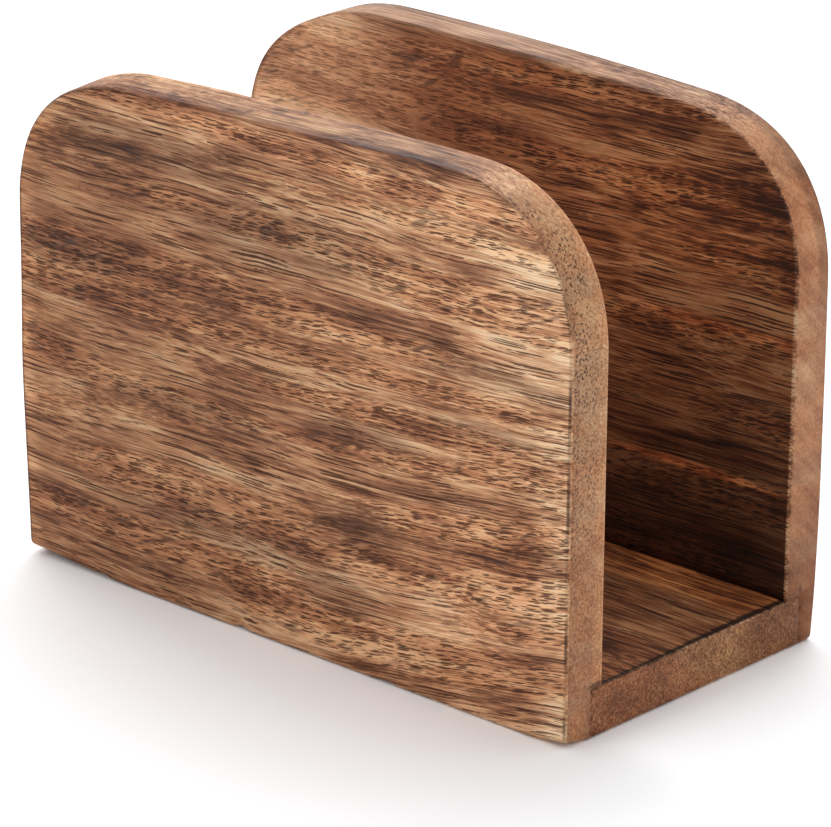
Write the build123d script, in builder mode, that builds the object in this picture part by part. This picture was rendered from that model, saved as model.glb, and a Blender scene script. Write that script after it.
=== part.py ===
"""Napkin holder of three boards: two round-cornered panels stand on edge and grip a base board.

Frame: millimetres, +Z up, origin on the floor under the middle of the holder.
+X runs along the length and the grain, the front panel is at -Y and the rear panel at +Y.
"""

from build123d import *
import os

# Overall size, over the outer faces
length = 178.0  # end to end, along the grain of all three boards
depth = 92.0  # front face to rear face
height = 130.0  # floor to the highest point of a panel

# Boards
front_thickness = 12.5
rear_thickness = 12.5
base_thickness = 12.5

# Panel outline
corner_radius = 37.5  # the two upper corners of each panel
top_crown = 1.2  # rise of the top edge from its ends to mid length
foot_radius = 1.5  # lower corners of the panels, lower ends of the base

# Rebates along the inner lower edges of the panels, which take the edges of the base
front_rebate = 4.5
rear_rebate = 7.0

# Hand-sanded edges
arris_radius = 1.2

# Planes that the boards share
front_inner_y = -depth / 2 + front_thickness
rear_inner_y = depth / 2 - rear_thickness


def side_panel(side, thickness, rebate):
    """A panel on edge, its outer face at side * depth / 2: side is -1 in front and +1 at the rear."""
    outer_y = side * depth / 2
    rebate_y = outer_y - side * (thickness - rebate / 2)
    with BuildPart() as panel:
        # Outline: flat foot, straight ends and a crowned top between two large round corners
        with BuildSketch(Plane.XZ.offset(-outer_y)) as outline:
            with BuildLine():
                foot = Line((-length / 2, 0), (length / 2, 0))
                right_end = Line(foot @ 1, (length / 2, height - top_crown))
                left_end = Line(foot @ 0, (-length / 2, height - top_crown))
                ThreePointArc(right_end @ 1, (0, height), left_end @ 1)
            make_face()
            corners = outline.vertices().group_by(Axis.Y)
            fillet(corners[-1], corner_radius)
            fillet(corners[0], foot_radius)
        extrude(amount=side * thickness)

        # Rebate for the base board, open below, inside and at both ends
        with BuildSketch(Plane.XY):
            with Locations((0, rebate_y)):
                Rectangle(length, rebate)
        extrude(amount=base_thickness, mode=Mode.SUBTRACT)

        # Ease all edges but those that meet the base
        across = panel.faces().filter_by(Axis.Y).sort_by(Axis.Y, reverse=side > 0)
        free_inner_edges = across[-1].edges().sort_by(Axis.Z)[1:]
        fillet(across[0].edges() + free_inner_edges, arris_radius)
    return panel


front_panel = side_panel(-1, front_thickness, front_rebate)
rear_panel = side_panel(1, rear_thickness, rear_rebate)

# Base board: a flat bed for the napkins, as wide as the gap and the two rebates together
base_front_y = front_inner_y - front_rebate
base_rear_y = rear_inner_y + rear_rebate
with BuildPart() as base_board:
    with BuildSketch(Plane.XY):
        with Locations((0, (base_front_y + base_rear_y) / 2)):
            Rectangle(length, base_rear_y - base_front_y)
    extrude(amount=base_thickness)
    end_edges = base_board.edges().filter_by(Axis.Y).group_by(Axis.Z)
    fillet(end_edges[0], foot_radius)
    upper_end_edges = base_board.edges().filter_by(Axis.Y).group_by(Axis.Z)[-1]
    fillet(upper_end_edges, arris_radius)

front_panel.part.label = "front_panel"
rear_panel.part.label = "rear_panel"
base_board.part.label = "base_board"

os.makedirs("parts", exist_ok=True)
export_step(front_panel.part, "parts/front_panel.step")
export_step(rear_panel.part, "parts/rear_panel.step")
export_step(base_board.part, "parts/base_board.step")
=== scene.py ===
"""A napkin holder of three oiled hardwood boards on a white studio floor.

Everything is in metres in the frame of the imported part: +X along the grain, the front panel at -Y,
+Z up, the origin on the floor under the middle. The wood is one solid pattern that all faces cut
through, so a face along the grain shows streaks and dashes and an end shows the dots of the pores.
The places that are worn or coloured are given in the same frame, but in millimetres.
"""

import math

import bmesh
import bpy
from mathutils import Matrix, Vector, noise


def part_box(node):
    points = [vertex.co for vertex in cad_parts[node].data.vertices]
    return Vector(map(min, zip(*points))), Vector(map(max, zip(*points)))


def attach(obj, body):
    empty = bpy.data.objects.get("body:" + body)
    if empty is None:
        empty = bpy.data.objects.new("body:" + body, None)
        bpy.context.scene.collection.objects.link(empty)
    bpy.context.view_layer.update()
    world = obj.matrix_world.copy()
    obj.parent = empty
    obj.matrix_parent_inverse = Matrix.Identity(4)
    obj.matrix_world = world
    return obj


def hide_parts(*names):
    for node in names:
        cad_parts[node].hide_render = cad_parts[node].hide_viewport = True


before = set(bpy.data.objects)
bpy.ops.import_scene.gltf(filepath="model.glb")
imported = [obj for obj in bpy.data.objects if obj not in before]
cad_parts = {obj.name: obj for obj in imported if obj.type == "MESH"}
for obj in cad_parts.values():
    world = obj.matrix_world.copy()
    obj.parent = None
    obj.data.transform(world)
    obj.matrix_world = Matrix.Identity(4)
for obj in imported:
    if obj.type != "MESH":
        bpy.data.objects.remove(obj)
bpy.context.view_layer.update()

MM = 0.001

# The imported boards
FRONT_LOW, FRONT_HIGH = (Vector(corner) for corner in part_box("front_panel"))
REAR_LOW, REAR_HIGH = (Vector(corner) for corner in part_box("rear_panel"))
BASE_LOW, BASE_HIGH = (Vector(corner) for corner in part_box("base_board"))
HALF_LENGTH = BASE_HIGH.x
OUTER_FACE = REAR_HIGH.y
INNER_FACE = 33.5 * MM
HEIGHT = FRONT_HIGH.z

# Outline and edges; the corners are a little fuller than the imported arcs, as sanding left them
CORNER_RADIUS = 36.5 * MM
TOP_CROWN = 1.2 * MM
FOOT_RADIUS = 1.5 * MM
ARRIS_RADIUS = 1.0 * MM

# Mesh density
CORNER_STEPS = 24
FOOT_STEPS = 3
ARRIS_STEPS = 4
SLICE = 2.5 * MM

# How hand sanding leaves the faces: the size of a hollow, and how deep it is as a part of the whole
HOLLOW_SIZE = 45 * MM
HOLLOW_ALONG = 0.0015
HOLLOW_ACROSS = 0.004

# Chips in the bottom edge of the front panel, in millimetres: x, half length, height
FRONT_CHIPS = ((-62, 2.8, 0.6), (-14, 2.5, 0.6), (33, 3.0, 0.4))


# ---------------------------------------------------------------- shapes


def cut_across(mesh, axis, low, high, step):
    """Slices the whole mesh square to one axis, at even steps between two places."""
    count = round((high - low) / step)
    for index in range(1, count):
        place = Vector((0, 0, 0))
        place[axis] = low + (high - low) * index / count
        normal = Vector((0, 0, 0))
        normal[axis] = 1
        everything = mesh.verts[:] + mesh.edges[:] + mesh.faces[:]
        bmesh.ops.bisect_plane(mesh, geom=everything, plane_co=place, plane_no=normal)


def round_edges(mesh, edges, radius, steps):
    """Rounds a set of edges to a radius."""
    bmesh.ops.bevel(
        mesh, geom=edges, offset=radius, offset_type="OFFSET", segments=steps,
        profile=0.5, affect="EDGES", material=-1, clamp_overlap=True,
    )


def drawn_along_grain(profile):
    """A board with the given outline of (y, z) points as its end, drawn from end to end along X."""
    mesh = bmesh.new()
    outline = [mesh.verts.new((-HALF_LENGTH, y, z)) for y, z in profile]
    end = mesh.faces.new(outline)
    drawn = bmesh.ops.extrude_face_region(mesh, geom=[end])
    moved = [part for part in drawn["geom"] if isinstance(part, bmesh.types.BMVert)]
    bmesh.ops.translate(mesh, verts=moved, vec=(2 * HALF_LENGTH, 0, 0))
    bmesh.ops.recalc_face_normals(mesh, faces=mesh.faces)
    return mesh


def at(value, place):
    """Whether a value is at a place, to a hundredth of a millimetre."""
    return abs(value - place) < 0.01 * MM


def edges_along_y(mesh, z):
    """The two edges across the ends of a board at one height."""
    return [
        edge for edge in mesh.edges
        if all(at(v.co.z, z) and at(abs(v.co.x), HALF_LENGTH) for v in edge.verts)
        and not at(edge.verts[0].co.y, edge.verts[1].co.y)
    ]


def eased(value, low, high):
    """0 below low, 1 above high, and smooth between."""
    part = min(1, max(0, (value - low) / (high - low)))
    return part * part * (3 - 2 * part)


def faded(value, low, high):
    """1 below low, 0 above high, and smooth between."""
    return 1 - eased(value, low, high)


# ---------------------------------------------------------------- wear


def hand_sanded(point):
    """Moves a point as hand sanding does: every face a little hollow or proud, never past its size."""
    slow = Vector(point) / HOLLOW_SIZE
    pull_x = 0.5 + 0.5 * noise.noise(slow)
    pull_y = 0.5 + 0.5 * noise.noise(slow + Vector((11, 3, 7)))
    return Vector((
        point.x * (1 - HOLLOW_ALONG * pull_x),
        point.y * (1 - HOLLOW_ACROSS * pull_y),
        point.z,
    ))


def fuller_corner(point, amount):
    """Pushes the middle of the upper right corner outwards, as it is fuller than an arc."""
    middle_x, middle_z, reach = 52, 93, 36
    x, z = point.x / MM - middle_x, point.z / MM - middle_z
    if x > 0 and z > 0:
        turn = math.atan2(z, x)
        push = amount * math.sin(2 * turn) ** 2 * min(1, math.hypot(x, z) / reach) ** 3
        point.x += push * math.cos(turn) * MM
        point.z += push * math.sin(turn) * MM


def pull_in_far_end(point):
    """The left end leans in towards the floor and is a little hollow below its corner."""
    z = point.z / MM
    lean = 2.9 * faded(z, -20, 75)
    hollow = 0.8 * eased(z, 45, 75) * faded(z, 98, 116)
    point.x += (lean + hollow) * max(0, -point.x / HALF_LENGTH) ** 5 * MM


def pull_in_rear_joint(point):
    """The joint at the foot of the rear panel sits a little nearer to the middle."""
    y, z = point.y / MM, point.z / MM
    point.y -= 2.5 * eased(y, 34, 40.5) * faded(y, 40.5, 46) * faded(z, 12.6, 22) * MM


def chip(point, x, half_length, height):
    """Breaks a piece out of the bottom edge of the front face."""
    deep = faded(abs(point.x / MM - x), 0.2 * half_length, half_length)
    deep *= faded(point.z / MM, 0.8 * height, 3 * height)
    deep *= faded(point.y / MM, -45.5, -43)
    point.z += height * deep * MM
    point.y += 0.7 * height * deep * MM


def wear_front(point):
    """The front panel: top sanded away over its left half, left foot lifted off the floor."""
    x, y, z = (value / MM for value in point)
    fuller_corner(point, 0.8)
    left_half = 1.5 * faded(x, -25, 55) * eased(x, -98, -62)
    inside_shoulder = 0.9 * eased(x, -80, -57) * faded(x, -57, -25)
    front_arris = 1.0 * faded(y, -46, -41.5) * faded(x, 0, 50)
    point.z -= (left_half + inside_shoulder + front_arris) * eased(z, 70, 128) * MM
    left_foot = 1.9 * faded(z, 1, 11.5) * faded(x, -92, -48) * faded(y, -42, -38)
    right_foot = 1.3 * faded(z, 0, 8) * eased(x, 78, 89) * faded(y, -46, -40)
    bottom_edge = 0.2 * faded(z, 0, 4) * faded(y, -46, -43.5)
    point.z += (left_foot + right_foot + bottom_edge) * MM
    for place, half_length, height in FRONT_CHIPS:
        chip(point, place, half_length, height)
    pull_in_far_end(point)


def wear_rear(point):
    """The rear panel: its top falls away to both ends, and it is thinner at the foot."""
    x, y, z = (value / MM for value in point)
    fuller_corner(point, 1.6)
    to_right = 1.7 * max(0, (x + 35) / 95) ** 2
    to_left = 2.3 * faded(x, -68, -44) * eased(x, -100, -66)
    point.z -= (to_right + to_left) * eased(z, 60, 128) * MM
    pull_in_rear_joint(point)
    thinner = 0.7 + 1.6 * faded(z, -15, 38) + 0.6 * faded(z, -4, 14)
    point.y -= thinner * eased(y, 41, 46) * MM
    pull_in_far_end(point)


def wear_base(point):
    """The base board, which follows the panels at the joint and at the far end."""
    pull_in_rear_joint(point)
    pull_in_far_end(point)


# ---------------------------------------------------------------- boards


def inside_outline(point):
    """How far a point is inside the outline of the panels, seen from the front."""
    over_x = abs(point.x) - (HALF_LENGTH - CORNER_RADIUS)
    over_z = point.z - (HEIGHT - CORNER_RADIUS)
    if over_x > 0 and over_z > 0:
        return CORNER_RADIUS - math.hypot(over_x, over_z)
    return CORNER_RADIUS - max(over_x, over_z)


def across_grain(vert):
    """How far the wood is cut across its grain: 1 at the ends, 0 on the faces and along the top."""
    over_x = abs(vert.co.x) - (HALF_LENGTH - CORNER_RADIUS)
    over_z = max(0, vert.co.z - (HEIGHT - CORNER_RADIUS))
    if over_x <= 0:
        return 0
    if over_z == 0 and at(abs(vert.co.x), HALF_LENGTH):
        return 1
    aside = abs(vert.normal.y)
    if over_z == 0:
        aside = max(aside, abs(vert.normal.z))
    return eased(over_x / math.hypot(over_x, over_z), 0.15, 0.6) * faded(aside, 0.35, 0.8)


def finish_board(name, mesh, node, wear):
    """Marks each point with what the wood needs to know, wears the shape and makes the object."""
    mesh.normal_update()
    rim = mesh.verts.layers.float.new("rim")
    from_face = mesh.verts.layers.float.new("from_face")
    end_grain = mesh.verts.layers.float.new("end_grain")
    for vert in mesh.verts:
        aside = abs(vert.co.y)
        vert[rim] = inside_outline(vert.co) / MM
        vert[from_face] = min(abs(aside - OUTER_FACE), abs(aside - INNER_FACE)) / MM
        vert[end_grain] = across_grain(vert)
        wear(vert.co)
        vert.co = hand_sanded(vert.co)
    data = bpy.data.meshes.new(name)
    mesh.to_mesh(data)
    mesh.free()
    board = bpy.data.objects.new(name, data)
    bpy.context.collection.objects.link(board)
    data.shade_smooth()
    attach(board, "root")
    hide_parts(node)
    return board


def panel(name, node, low, high, side, wear):
    """A side panel: side is -1 in front and +1 at the rear."""
    outer_y = low.y if side < 0 else high.y
    inner_y = high.y if side < 0 else low.y
    rebate_y = BASE_LOW.y if side < 0 else BASE_HIGH.y
    shoulder_z = BASE_HIGH.z
    top_z = HEIGHT - TOP_CROWN
    mesh = drawn_along_grain([
        (outer_y, 0), (outer_y, top_z), (inner_y, top_z),
        (inner_y, shoulder_z), (rebate_y, shoulder_z), (rebate_y, 0),
    ])
    round_edges(mesh, edges_along_y(mesh, top_z), CORNER_RADIUS, CORNER_STEPS)
    round_edges(mesh, edges_along_y(mesh, 0), FOOT_RADIUS, FOOT_STEPS)
    arrises = [
        edge for edge in mesh.edges
        if all(at(v.co.y, outer_y) for v in edge.verts)
        or (
            all(at(v.co.y, inner_y) for v in edge.verts)
            and not all(at(v.co.z, shoulder_z) for v in edge.verts)
        )
    ]
    round_edges(mesh, arrises, ARRIS_RADIUS, ARRIS_STEPS)
    cut_across(mesh, 0, -HALF_LENGTH, HALF_LENGTH, SLICE)
    cut_across(mesh, 2, 0, top_z, SLICE)
    for vert in mesh.verts:
        rise = min(1, vert.co.z / top_z) ** 4
        vert.co.z += TOP_CROWN * rise * (1 - (vert.co.x / HALF_LENGTH) ** 2)
    return finish_board(name, mesh, node, wear)


def base(name, node):
    """The flat board that the napkins stand on."""
    low, high = BASE_LOW, BASE_HIGH
    mesh = drawn_along_grain([(low.y, 0), (low.y, high.z), (high.y, high.z), (high.y, 0)])
    round_edges(mesh, edges_along_y(mesh, 0), FOOT_RADIUS, FOOT_STEPS)
    round_edges(mesh, edges_along_y(mesh, high.z), ARRIS_RADIUS, ARRIS_STEPS)
    cut_across(mesh, 0, -HALF_LENGTH, HALF_LENGTH, SLICE)
    cut_across(mesh, 1, low.y, high.y, SLICE)
    return finish_board(name, mesh, node, wear_base)


# ---------------------------------------------------------------- wood


# The tones of the wood from scorched to bare, each with its place on the scale of tone, and the
# colours of what lies in it and on it, as seen on a screen, 0 to 255
TONES = (
    (0.05, (66, 40, 28)),
    (0.30, (116, 72, 48)),
    (0.52, (174, 118, 82)),
    (0.72, (212, 157, 114)),
    (0.95, (240, 196, 152)),
)
PORE_BROWN = (68, 34, 20)
DOT_BROWN = (86, 60, 46)
SMUDGE_BROWN = (76, 54, 46)
SCORCH_BLACK = (40, 24, 18)
PLAIN_TONE = 0.58

# The open pores: the room each has along the grain and across it in millimetres, and the smallest
# and largest radius as parts of that room
PORE_LINES = {"size": (28.0, 0.52, 0.52), "small": 0.14, "large": 0.52}
PORE_DASHES = {"size": (4.4, 0.45, 0.45), "small": 0.22, "large": 0.58}
PORE_DOTS = {"size": (5.0, 0.78, 0.78), "small": 0.18, "large": 0.46}


def srgb(red, green, blue):
    """A colour given as it looks on a screen, 0 to 255, in the light that the shader works in."""
    def straight(value):
        value /= 255
        return value / 12.92 if value <= 0.04045 else ((value + 0.055) / 1.055) ** 2.4
    return (straight(red), straight(green), straight(blue), 1)


def shade(red, green, blue):
    """How much of each colour is left, as a factor."""
    return (red, green, blue, 1)


class Shader:
    """Adds and wires the nodes of one material."""

    def __init__(self, name):
        self.material = bpy.data.materials.new(name)
        self.material.use_nodes = True
        self.tree = self.material.node_tree
        self.tree.nodes.clear()

    def node(self, kind, settings=None, **inputs):
        """A node with its settings, and each named input set to a value or wired to an output."""
        made = self.tree.nodes.new("ShaderNode" + kind)
        for key, value in (settings or {}).items():
            setattr(made, key, value)
        for key, value in inputs.items():
            self.wire(made.inputs[key.replace("_", " ")], value)
        return made

    def wire(self, socket, value):
        """Links an output to a socket, or sets the socket to a value."""
        if isinstance(value, bpy.types.NodeSocket):
            self.tree.links.new(value, socket)
        else:
            socket.default_value = value

    def math(self, operation, first, second=0.0, third=0.0):
        """One step of arithmetic."""
        made = self.tree.nodes.new("ShaderNodeMath")
        made.operation = operation
        for socket, value in zip(made.inputs, (first, second, third)):
            self.wire(socket, value)
        return made.outputs[0]

    def plus(self, first, second):
        return self.math("ADD", first, second)

    def minus(self, first, second):
        return self.math("SUBTRACT", first, second)

    def times(self, first, *others):
        """The product of two or more values."""
        for other in others:
            first = self.math("MULTIPLY", first, other)
        return first

    def times_plus(self, first, second, third):
        """The product of two values with a third added."""
        return self.math("MULTIPLY_ADD", first, second, third)

    def ramp(self, value, low, high, out_low=0.0, out_high=1.0):
        """A value eased smoothly from one range into another."""
        made = self.tree.nodes.new("ShaderNodeMapRange")
        made.interpolation_type = "SMOOTHSTEP"
        for socket, part in zip(made.inputs, (value, low, high, out_low, out_high)):
            self.wire(socket, part)
        return made.outputs[0]

    def mix(self, amount, first, second, blend="MIX"):
        """Two colours brought together, the second by the given amount."""
        made = self.node("Mix", {"data_type": "RGBA", "blend_type": blend})
        self.wire(made.inputs[0], amount)
        self.wire(made.inputs[6], first)
        self.wire(made.inputs[7], second)
        return made.outputs[2]

    def shaded(self, colour, factor):
        """A colour with each of its parts multiplied by a factor."""
        return self.mix(1.0, colour, factor, "MULTIPLY")

    def output(self, surface):
        self.node("OutputMaterial", Surface=surface)


class Board:
    """The wood shader's view of one board, with every place in millimetres.

    x, y, z: the place on the board, in the frame of the part.
    in_log: the place in the log that the board was cut from.
    in_fibres: the place in the log once its fibres are drawn out straight.
    rim, from_face, end_grain: what finish_board marked each point with.
    streak, ragged: fine streaks along the grain, and what they add to an outline to fray it.
    """

    def __init__(self, name, plank, sweep):
        self.s = s = Shader(name)
        place = s.node("TexCoord").outputs["Object"]
        in_mm = s.node("VectorMath", {"operation": "SCALE"}, Vector=place, Scale=1 / MM)
        self.x, self.y, self.z = s.node("SeparateXYZ", Vector=in_mm.outputs[0]).outputs
        self.rim = self.mark("rim")
        self.from_face = self.mark("from_face")
        self.end_grain = self.mark("end_grain")
        self.in_log = [s.plus(part, start) for part, start in zip((self.x, self.y, self.z), plank)]
        self.in_fibres = self.drawn_straight(sweep)
        self.streak = self.noise(self.in_fibres, (34.0, 1.1, 1.1), 2.0, 0.6)
        self.ragged = s.times(s.minus(self.streak, 0.5), 1.6)

    def mark(self, name):
        """What finish_board wrote under a name."""
        return self.s.node("Attribute", {"attribute_name": name}).outputs["Fac"]

    def sized(self, place, size):
        """A place measured in steps of a size, which may differ along x, y and z."""
        x, y, z = (self.s.math("DIVIDE", part, step) for part, step in zip(place, size))
        return self.s.node("CombineXYZ", X=x, Y=y, Z=z).outputs[0]

    def noise(self, place, size, detail=1.0, roughness=0.5):
        """Soft noise from 0 to 1, whose patches have about the given size."""
        made = self.s.node(
            "TexNoise", {"normalize": True},
            Vector=self.sized(place, size), Scale=1.0, Detail=detail, Roughness=roughness,
        )
        return made.outputs["Fac"]

    def wave(self, size, height):
        """A slow wander of the fibres, height millimetres from trough to crest."""
        return self.s.times(self.s.minus(self.noise(self.in_log, size), 0.5), height)

    def drawn_straight(self, sweep):
        """Takes the waves out of the fibres, and their fan upwards to the right in the lower half."""
        s = self.s
        x, y, z = self.in_log
        fan = s.math("POWER", s.math("MAXIMUM", s.plus(self.x, 30.0), 0.0), 2.0)
        fan = s.times(fan, s.times_plus(self.z, -sweep / 130, sweep))
        v = s.plus(y, self.wave((75.0, 40.0, 22.0), 8.0))
        w = s.minus(s.plus(z, self.wave((90.0, 60.0, 40.0), 6.0)), fan)
        return x, v, s.plus(w, self.wave((20.0, 16.0, 8.0), 1.4))

    def pores(self, place, size, small, large):
        """1 inside the pores and 0 between them: one pore in each cell, no two of the same width."""
        s = self.s
        cells = s.node(
            "TexVoronoi", {"feature": "F1", "voronoi_dimensions": "3D"},
            Vector=self.sized(place, size), Scale=1.0, Randomness=1.0,
        )
        chance = s.node("SeparateColor", Color=cells.outputs["Color"]).outputs[0]
        radius = s.times_plus(chance, large - small, small)
        return s.ramp(s.minus(cells.outputs["Distance"], radius), 0.06, -0.08)

    def spot(self, along, z, place, high, half, half_high):
        """A soft spot on a face: 1 in its middle and 0 outside it, with a ragged outline."""
        s = self.s
        aside = s.math("DIVIDE", s.minus(along, place), half)
        above = s.math("DIVIDE", s.minus(z, high), half_high)
        far = s.plus(s.times(aside, aside), s.times(above, above))
        return s.ramp(s.plus(far, self.ragged), 1.25, 0.25)

    def patch(self, x, z, half_x, half_z):
        """A spot on the faces along the grain."""
        return self.spot(self.x, self.z, x, z, half_x, half_z)

    def speck(self, y, z, half_y, half_z):
        """A spot on the right end."""
        return self.s.times(self.spot(self.y, self.z, y, z, half_y, half_z), self.end_grain)


def grain_pores(board, speckle):
    """The pores of the faces: long lines in the straight ribbons and leaning dashes in the speckle."""
    s = board.s
    x, v, w = board.in_fibres
    rag = s.times(s.minus(board.noise(board.in_fibres, (2.2, 0.8, 0.8)), 0.5), 0.3)
    rag_v, rag_w = s.plus(v, rag), s.minus(w, rag)
    lines = board.pores((x, rag_v, rag_w), **PORE_LINES)
    dashes = board.pores((x, rag_v, s.times_plus(x, -0.05, rag_w)), **PORE_DASHES)
    in_straight = s.times(lines, s.times_plus(speckle, -0.75, 1.0))
    pore = s.math("MAXIMUM", in_straight, s.times(dashes, speckle))
    return s.times(pore, s.minus(1.0, board.end_grain))


def wood_tone(board, look, hair):
    """How pale the wood is on the scale of TONES."""
    s = board.s
    x, y, z = board.in_log
    tone = look["tone"](board)
    # Streaks of tone along the grain, from hair-fine to as wide as a ribbon
    broad = board.noise(board.in_fibres, (85.0, 14.0, 8.0))
    cloud = board.noise(board.in_fibres, (22.0, 12.0, 6.0), 3.0, 0.6)
    bolder = s.ramp(board.x, -70.0, 80.0, look["contrast"], look["contrast_right"])
    for grain, strength in ((hair, 0.85), (board.streak, 0.60), (broad, 0.60), (cloud, 0.70)):
        share = s.times(s.times_plus(board.end_grain, -0.75, 1.0), strength, bolder)
        tone = s.times_plus(s.minus(grain, 0.5), share, tone)
    # Cut across, the wood shows its growth rings and a close stipple
    rings = board.noise((x, s.plus(y, z), s.minus(z, y)), (60.0, 3.2, 30.0), 1.0, 0.6)
    stipple = board.noise(board.in_log, (3.0, 0.55, 0.55), 1.5, 0.7)
    for grain, strength in ((rings, look["rings"]), (stipple, look["stipple"])):
        share = s.times(board.end_grain, strength)
        tone = s.times_plus(s.minus(grain, 0.5), share, tone)
    return tone


def wood_colour(board, tone, speckle):
    """The colour for a tone, redder in the speckle and greyer in the straight ribbons."""
    s = board.s
    x, v, w = board.in_fibres
    ramp = s.node("ValToRGB", Fac=tone)
    stops = ramp.color_ramp.elements
    for stop, (place, colour) in zip(stops, (TONES[0], TONES[-1])):
        stop.position = place
        stop.color = srgb(*colour)
    for place, colour in TONES[1:-1]:
        stops.new(place).color = srgb(*colour)
    colour = ramp.outputs[0]
    greyer = s.shaded(colour, shade(0.97, 1.01, 1.05))
    redder = s.shaded(colour, shade(1.02, 0.98, 0.95))
    colour = s.mix(speckle, greyer, redder)
    # Some drift of the colour besides
    warmth = board.noise(board.in_fibres, (14.0, 5.0, 3.2), 2.0)
    warmer = s.shaded(colour, shade(1.05, 0.94, 0.87))
    colour = s.mix(s.ramp(warmth, 0.35, 0.65, 0.0, 0.5), colour, warmer)
    # Smudges that lean across the speckle
    leaning = s.times_plus(x, -0.34, w)
    smudge = s.ramp(board.noise((x, v, leaning), (8.0, 5.0, 2.2)), 0.60, 0.74)
    smudge = s.times(smudge, s.times_plus(speckle, 0.5, 0.10))
    smudge = s.times(smudge, s.times_plus(board.end_grain, -0.8, 1.0))
    return s.mix(smudge, colour, srgb(*SMUDGE_BROWN))


def with_pores(board, look, colour, pore):
    """Darkens a colour in the pores of the faces, and in the dots where the wood is cut across."""
    s = board.s
    depth = s.ramp(board.x, -70.0, 20.0, look["pores"], look["pores_right"])
    near_rim = s.ramp(board.rim, 0.3, 1.0, 0.45, 1.0)
    colour = s.mix(s.times(pore, s.times(depth, near_rim)), colour, srgb(*PORE_BROWN))
    dots = s.times(board.pores(board.in_log, **PORE_DOTS), board.end_grain)
    crowded = s.ramp(board.noise(board.in_log, (30.0, 9.0, 14.0), 2.0), 0.35, 0.62, 0.5, 1.0)
    return s.mix(s.times(dots, crowded, look["dots"](board)), colour, srgb(*DOT_BROWN))


def scorched_line(board, look):
    """Where the flame caught the wood beside the arrises of the ends."""
    s = board.s
    patchy = s.ramp(board.noise(board.in_log, (14.0, 14.0, 14.0), 2.0), 0.35, 0.65, 0.2, 0.75)
    return s.times(
        s.ramp(board.rim, 0.3, 0.6),
        s.ramp(board.rim, 1.5, 0.9),
        s.ramp(board.from_face, 0.8, 0.3),
        s.ramp(s.math("ABSOLUTE", board.x), 30.0, 75.0),
        look["line"](board),
        patchy,
    )


def wood(name, look):
    """Torched open-pored hardwood. look says what sets this board apart."""
    board = Board(name, look["plank"], look["sweep"])
    s = board.s
    # Ribbons of straight grain, where the pores show as lines, and of speckle, where they dive out
    speckle = s.ramp(board.noise(board.in_fibres, (150.0, 40.0, 8.0), 0.0), 0.44, 0.56)
    pore = grain_pores(board, speckle)
    hair = board.noise(board.in_fibres, (20.0, 0.34, 0.34), 2.0, 0.6)
    colour = wood_colour(board, wood_tone(board, look, hair), speckle)
    colour = with_pores(board, look, colour, pore)
    colour = s.shaded(colour, look["tint"](board))
    colour = s.mix(scorched_line(board, look), colour, srgb(*SCORCH_BLACK))
    bump = s.node(
        "Bump", Strength=0.3, Distance=0.4 * MM, Height=s.minus(s.times(hair, 0.3), pore)
    )
    surface = s.node(
        "BsdfPrincipled", Base_Color=colour, Roughness=s.times_plus(pore, 0.2, 0.55),
        Normal=bump.outputs[0],
    )
    surface.inputs["Specular IOR Level"].default_value = 0.25
    s.output(surface.outputs[0])
    return s.material


# ---------------------------------------------------------------- looks of the boards


# Dark scorches on the front face, in millimetres: x, z, half length, half height
FRONT_SCORCHES = (
    (-75, 82, 26, 4.5),
    (-42, 114, 34, 6.0),
    (0, 101, 36, 8.5),
    (18, 18, 15, 5.0),
    (-30, 52, 36, 3.5),
    (30, 60, 18, 4.0),
    (64, 84, 24, 3.0),
    (62, 70, 20, 3.0),
    (-20, 24, 40, 5.0),
    (24, 36, 14, 8.0),
    (84, 44, 8, 4.0),
)

# Red streaks on the rear panel's inner face: x, z, half length, half height
RED_STREAKS = ((62, 76, 30, 1.6), (58, 39, 32, 1.4), (20, 88, 24, 1.2))

# Dark specks of the joint on the right end of the rear panel: y, z, half width, half height
JOINT_SPECKS = (
    (38.2, 14.3, 0.8, 1.6),
    (38.4, 9.4, 0.6, 0.8),
    (38.3, 5.6, 0.6, 0.8),
    (38.5, 2.4, 0.6, 0.7),
)


def pale_rim(board):
    """Where the front panel was sanded to pale wood: along its right rim, widest at the corner."""
    s = board.s
    width = s.ramp(board.z, 45.0, 95.0, 15.0, 42.0)
    rim = s.ramp(s.math("DIVIDE", board.rim, width), 1.0, 0.15)
    return s.times(rim, s.ramp(board.x, 35.0, 75.0))


def front_tone(board):
    """Plain, and paler along the sanded rim."""
    return board.s.times_plus(pale_rim(board), 0.13, PLAIN_TONE)


def front_dots(board):
    """The dots are dark beside the front face and around the corner, and fade inwards and down."""
    s = board.s
    return s.times(s.ramp(board.y, -34.0, -41.0, 0.4, 0.9), s.ramp(board.z, 20.0, 75.0, 0.45, 1.0))


def front_line(board):
    """The scorched line runs along the front face's arris, not along the inner one."""
    return board.s.ramp(board.y, -38.0, -40.0)


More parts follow.
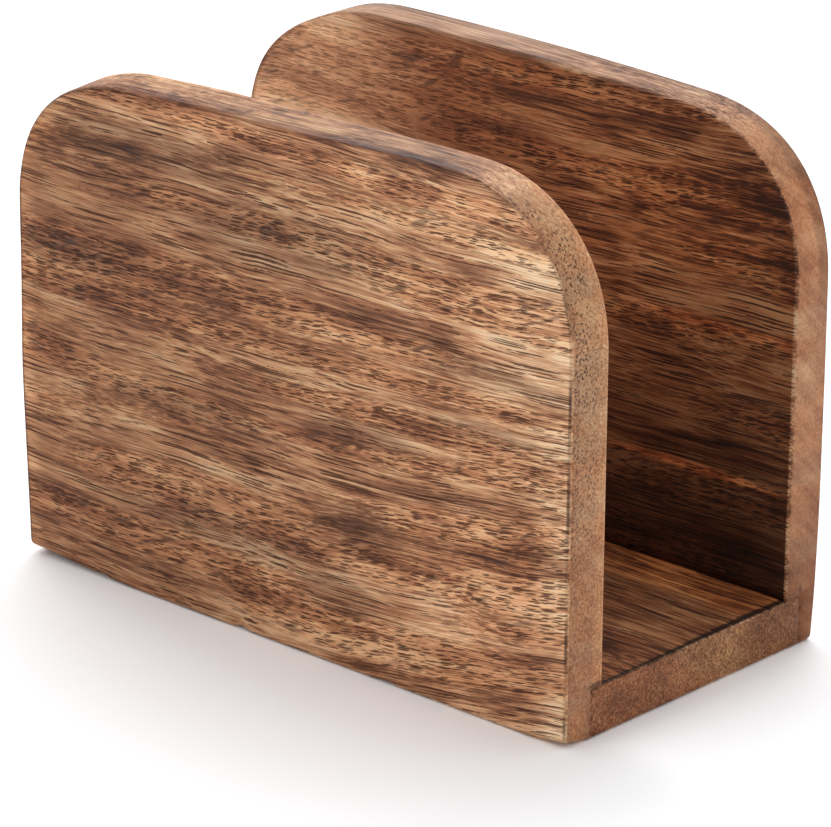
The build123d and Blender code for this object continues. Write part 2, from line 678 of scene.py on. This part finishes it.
def front_face(board):
    """The front face: darker to the left, with a sanded rim, pale strips and scorches."""
    s, x, z, rim = board.s, board.x, board.z, board.rim
    colour = s.mix(s.ramp(x, -60.0, 95.0), shade(0.78, 0.74, 0.70), shade(1.165, 1.18, 1.195))
    colour = s.mix(s.times(pale_rim(board), 0.9), colour, shade(1.27, 1.44, 1.58))
    foot = board.patch(66, 22, 36, 13)
    colour = s.mix(s.times(foot, 0.6), colour, shade(1.30, 1.36, 1.44))
    left_strip = s.times(s.ramp(rim, 7.0, 2.5), s.ramp(rim, 0.9, 1.4), s.ramp(x, -60.0, -80.0))
    colour = s.mix(s.times(left_strip, 0.7), colour, shade(1.18, 1.19, 1.16))
    under_top = s.times(
        s.ramp(s.plus(z, board.ragged), 117.5, 121.5),
        s.ramp(x, 84.0, 60.0),
        s.ramp(x, -70.0, -30.0, 0.4, 0.85),
    )
    colour = s.mix(under_top, colour, shade(1.26, 1.30, 1.34))
    for scorch in FRONT_SCORCHES:
        colour = s.mix(s.times(board.patch(*scorch), 0.42), colour, shade(0.36, 0.37, 0.41))
    return colour


def front_top(board):
    """The top of the front panel: a dark band along its front, and a painted highlight along its inner
    arris.
    """
    s, x, y, z = board.s, board.x, board.y, board.z
    plain = s.mix(s.ramp(z, 118.0, 126.0), shade(0.94, 0.96, 1.0), shade(0.88, 0.94, 0.91))
    in_front = s.ramp(s.times_plus(board.ragged, 2.6, y), -41.6, -43.4)
    band = s.times(s.ramp(x, -66.0, -50.0), s.ramp(x, 66.0, 52.0), in_front)
    top = s.mix(s.times(band, 0.85), plain, shade(0.47, 0.35, 0.25))
    # A painted highlight along the inner arris of the top
    inner_arris_highlight = s.times(s.ramp(y, -35.3, -34.3), s.ramp(z, 110.0, 122.0))
    return s.mix(s.times(inner_arris_highlight, 0.65), top, shade(1.50, 1.60, 1.62))


def front_end(board):
    """The right end of the front panel: darker to the foot and to the front arris, with a painted
    highlight along the inner arris.
    """
    s, y, z = board.s, board.y, board.z
    end = s.mix(s.ramp(z, 95.0, 10.0), shade(0.75, 0.775, 0.77), shade(0.65, 0.57, 0.55))
    inner_half = s.ramp(y, -38.5, -35.5, 0.0, 0.7)
    end = s.mix(inner_half, end, shade(0.90, 0.85, 0.78))
    front_arris = s.ramp(y, -42.2, -45.0, 0.0, 0.7)
    end = s.mix(front_arris, end, shade(0.60, 0.58, 0.60))
    # A painted highlight along the inner arris of the end
    inner_arris_highlight = s.ramp(y, -34.9, -34.1, 0.0, 0.6)
    end = s.mix(inner_arris_highlight, end, shade(1.12, 1.12, 1.16))
    brown_foot = s.times(board.speck(-42.0, 5.0, 3.5, 6.0), 0.5)
    return s.mix(brown_foot, end, shade(0.90, 0.66, 0.50))


def front_tint(board):
    """The face, the top and the right end, and a dark speck on the end above the base board."""
    s = board.s
    colour = s.mix(s.ramp(board.rim, 0.9, 0.3), front_face(board), front_top(board))
    colour = s.mix(s.ramp(board.end_grain, 0.3, 0.9), colour, front_end(board))
    return s.mix(board.speck(-35.6, 13.2, 3.2, 0.9), colour, shade(0.30, 0.27, 0.25))


def rear_tone(board):
    """The inner face is plainer and paler to the left."""
    return board.s.ramp(board.x, -75.0, -25.0, 0.64, PLAIN_TONE)


def rear_line(board):
    """The scorched line runs along the outer arris only."""
    return board.s.ramp(board.y, 38.0, 40.0)


def rear_inside(board):
    """The inner face: paler to the left, and with painted shade that turns nearly black towards the
    foot of the right end, where the front panel shades it.
    """
    s, x, z, rim = board.s, board.x, board.z, board.rim
    # Painted shade where the front panel shades the inner face: darker towards the foot, and darker
    # still towards the right end
    dark = s.mix(s.ramp(z, 98.0, 8.0), shade(0.75, 0.59, 0.46), shade(0.11, 0.07, 0.055))
    dark = s.mix(s.ramp(x, 20.0, 80.0), dark, s.shaded(dark, shade(0.63, 0.60, 0.60)))
    inside = s.mix(s.ramp(x, -68.0, -15.0), shade(1.44, 1.64, 1.84), dark)
    for streak in RED_STREAKS:
        inside = s.mix(s.times(board.patch(*streak), 0.5), inside, shade(1.05, 0.70, 0.49))
    brown = board.patch(54, 100, 30, 15)
    inside = s.mix(s.times(brown, 0.5), inside, shade(0.96, 0.74, 0.54))
    far_rim = s.times(s.ramp(rim, 2.4, 1.2), s.ramp(x, -60.0, -80.0))
    return s.mix(s.times(far_rim, 0.75), inside, shade(0.45, 0.40, 0.38))


def rear_tint(board):
    """Darkened inside with painted shade and plainer outside, with a painted highlight on the arrises
    and dark specks along the joint at the right end.
    """
    s, x, y, z, rim = board.s, board.x, board.y, board.z, board.rim
    outside = s.mix(s.ramp(x, -80.0, 85.0), shade(0.9, 0.86, 0.82), shade(1.1, 1.08, 1.05))
    colour = s.mix(s.ramp(y, 34.2, 38.0), rear_inside(board), outside)
    # The top's colour reaches over the arrises and a little beyond: partly the top's own colour,
    # partly a painted highlight on the arrises
    colour = s.mix(s.ramp(rim, 1.3, 0.8), colour, shade(0.75, 0.77, 0.81))
    end = s.mix(s.ramp(z, 88.0, 104.0), shade(0.88, 0.88, 0.91), shade(0.98, 0.96, 0.96))
    end = s.mix(s.ramp(z, 48.0, 6.0), end, shade(0.47, 0.39, 0.36))
    colour = s.mix(s.ramp(board.end_grain, 0.3, 0.9), colour, end)
    for speck in JOINT_SPECKS:
        colour = s.mix(s.times(board.speck(*speck), 0.7), colour, shade(0.25, 0.20, 0.18))
    # The outer arris, scorched a little wider around the corner
    from_face = s.minus(board.from_face, s.ramp(z, 72.0, 90.0, 0.0, 0.3))
    scorched = s.times(s.ramp(from_face, 0.9, 0.5), s.ramp(rim, 1.6, 0.8), s.ramp(y, 40.0, 42.0))
    return s.mix(s.times(scorched, 0.8), colour, shade(0.22, 0.20, 0.20))


def base_inside(board):
    """The top of the base board: an orange band beside the rear panel, and a scorched right end."""
    s, x, y = board.s, board.x, board.y
    inside = s.mix(s.ramp(y, 17.0, 24.0), shade(0.52, 0.42, 0.34), shade(1.05, 0.79, 0.50))
    starts = s.plus(s.minus(88.0, s.ramp(y, -20.0, 20.0, 0.5, 1.6)), board.ragged)
    scorch = s.times(s.ramp(s.minus(x, starts), -0.7, 0.5), s.ramp(x, 88.9, 88.4))
    return s.mix(s.times(scorch, 0.95), inside, shade(0.05, 0.045, 0.04))


def base_tint(board):
    """Dark and red on top, plain below, with a painted highlight on the upper arrises at the ends."""
    s, x, y, z = board.s, board.x, board.y, board.z
    colour = s.mix(s.ramp(z, 6.0, 10.0), shade(0.95, 0.92, 0.88), base_inside(board))
    # A painted highlight, pale and bluish, on the upper arrises of the ends, stronger towards the rear
    arris = s.times(s.ramp(s.math("ABSOLUTE", x), 88.0, 88.6), s.ramp(z, 11.4, 12.1))
    arris = s.times(arris, s.ramp(y, -25.0, 5.0, 0.2, 0.9))
    colour = s.mix(arris, colour, shade(0.80, 0.88, 1.0))
    end = s.mix(s.ramp(y, -14.0, 6.0), shade(0.60, 0.52, 0.48), shade(0.70, 0.66, 0.55))
    end = s.mix(s.ramp(y, 12.0, 24.0), end, shade(0.51, 0.42, 0.32))
    return s.mix(s.ramp(board.end_grain, 0.25, 0.7), colour, end)


def always(value):
    """A look that is the same all over a board."""
    return lambda board: value


# plank: where in the log a board was cut; sweep: how far its fibres fan upwards to the right
# tint, tone, dots, line: how its colour (with its painted shade and highlights), tone, end dots and
# scorched line differ from place to place
# contrast, pores: how strongly its streaks and its pores show, at the left and at the right
# rings, stipple: how strongly they show where it is cut across
FRONT_LOOK = {
    "plank": (0, 0, 0), "sweep": 0.0009,
    "tint": front_tint, "tone": front_tone, "dots": front_dots, "line": front_line,
    "contrast": 1.22, "contrast_right": 1.42, "pores": 0.84, "pores_right": 0.86,
    "rings": 0.2, "stipple": 0.8,
}
REAR_LOOK = {
    "plank": (310, 90, 40), "sweep": 0.0,
    "tint": rear_tint, "tone": rear_tone, "dots": always(0.12), "line": rear_line,
    "contrast": 0.75, "contrast_right": 1.9, "pores": 0.5, "pores_right": 0.9,
    "rings": 0.32, "stipple": 0.26,
}
BASE_LOOK = {
    "plank": (620, 40, 200), "sweep": 0.0,
    "tint": base_tint, "tone": always(PLAIN_TONE), "dots": always(0.6), "line": always(0.0),
    "contrast": 1.4, "contrast_right": 1.8, "pores": 0.86, "pores_right": 0.86,
    "rings": 0.2, "stipple": 1.0,
}


# ---------------------------------------------------------------- studio


# The floor's white: for the light that it throws back, and as the camera sees it, where the extra
# takes it a little over full white so that only the shadow shows
FLOOR_SIZE = 6.0
FLOOR_THROWN = (0.86, 0.86, 0.86, 1)
FLOOR_SEEN = (0.99, 0.99, 0.99, 1)
FLOOR_EXTRA = (0.15, 0.16, 0.185, 1)

ROOM_STRENGTH = 0.75
LAMP_STRENGTH = 1.9
LAMP_SPREAD = math.radians(60)
LAMP_TURN = (math.radians(-28), math.radians(-38), 0)

# Camera, from the photograph, with its lens in pixels
PHOTO_WIDTH = 831
CAMERA_PLACE = Vector((764.2, -839.8, 468.4)) * MM
CAMERA_AZIMUTH = 42.285
CAMERA_ELEVATION = 20.396
CAMERA_ROLL = 0.455
LENS_PIXELS = 5050.0
SENSOR = 36.0


def studio_floor():
    """A white floor on which only the shadow is seen."""
    mesh = bmesh.new()
    bmesh.ops.create_grid(mesh, x_segments=1, y_segments=1, size=FLOOR_SIZE)
    data = bpy.data.meshes.new("studio_floor")
    mesh.to_mesh(data)
    mesh.free()
    floor = bpy.data.objects.new("studio_floor", data)
    bpy.context.collection.objects.link(floor)
    s = Shader("studio_floor")
    thrown = s.node("BsdfDiffuse", Color=FLOOR_THROWN)
    seen = s.node("BsdfDiffuse", Color=FLOOR_SEEN)
    extra = s.node("BsdfDiffuse", Color=FLOOR_EXTRA)
    both = s.node("AddShader")
    s.wire(both.inputs[0], seen.outputs[0])
    s.wire(both.inputs[1], extra.outputs[0])
    pick = s.node("MixShader")
    s.wire(pick.inputs[0], s.node("LightPath").outputs["Is Camera Ray"])
    s.wire(pick.inputs[1], thrown.outputs[0])
    s.wire(pick.inputs[2], both.outputs[0])
    s.output(pick.outputs[0])
    data.materials.append(s.material)


def studio_light():
    """An even white room, with a broad soft light overhead that falls a little from the rear left."""
    world = bpy.data.worlds.new("studio")
    bpy.context.scene.world = world
    world.use_nodes = True
    background = world.node_tree.nodes["Background"]
    background.inputs["Color"].default_value = (1, 1, 1, 1)
    background.inputs["Strength"].default_value = ROOM_STRENGTH
    data = bpy.data.lights.new("overhead", "SUN")
    data.energy = LAMP_STRENGTH
    data.angle = LAMP_SPREAD
    lamp = bpy.data.objects.new("overhead", data)
    bpy.context.collection.objects.link(lamp)
    lamp.rotation_euler = LAMP_TURN


def camera():
    """The photograph's camera."""
    data = bpy.data.cameras.new("camera")
    data.sensor_fit = "HORIZONTAL"
    data.sensor_width = SENSOR
    data.lens = LENS_PIXELS / PHOTO_WIDTH * SENSOR
    data.clip_start = 0.05
    data.clip_end = 20
    view = bpy.data.objects.new("camera", data)
    bpy.context.collection.objects.link(view)
    turn = (
        Matrix.Rotation(math.radians(CAMERA_AZIMUTH), 4, "Z")
        @ Matrix.Rotation(math.radians(90 - CAMERA_ELEVATION), 4, "X")
        @ Matrix.Rotation(math.radians(CAMERA_ROLL), 4, "Z")
    )
    view.matrix_world = Matrix.Translation(CAMERA_PLACE) @ turn
    bpy.context.scene.camera = view


# ---------------------------------------------------------------- scene


front = panel("front_board", "front_panel", FRONT_LOW, FRONT_HIGH, -1, wear_front)
rear = panel("rear_board", "rear_panel", REAR_LOW, REAR_HIGH, 1, wear_rear)
bed = base("base_bed", "base_board")
front.data.materials.append(wood("front_wood", FRONT_LOOK))
rear.data.materials.append(wood("rear_wood", REAR_LOOK))
bed.data.materials.append(wood("base_wood", BASE_LOOK))

camera()
studio_floor()
studio_light()
bpy.context.scene.view_settings.view_transform = "Standard"
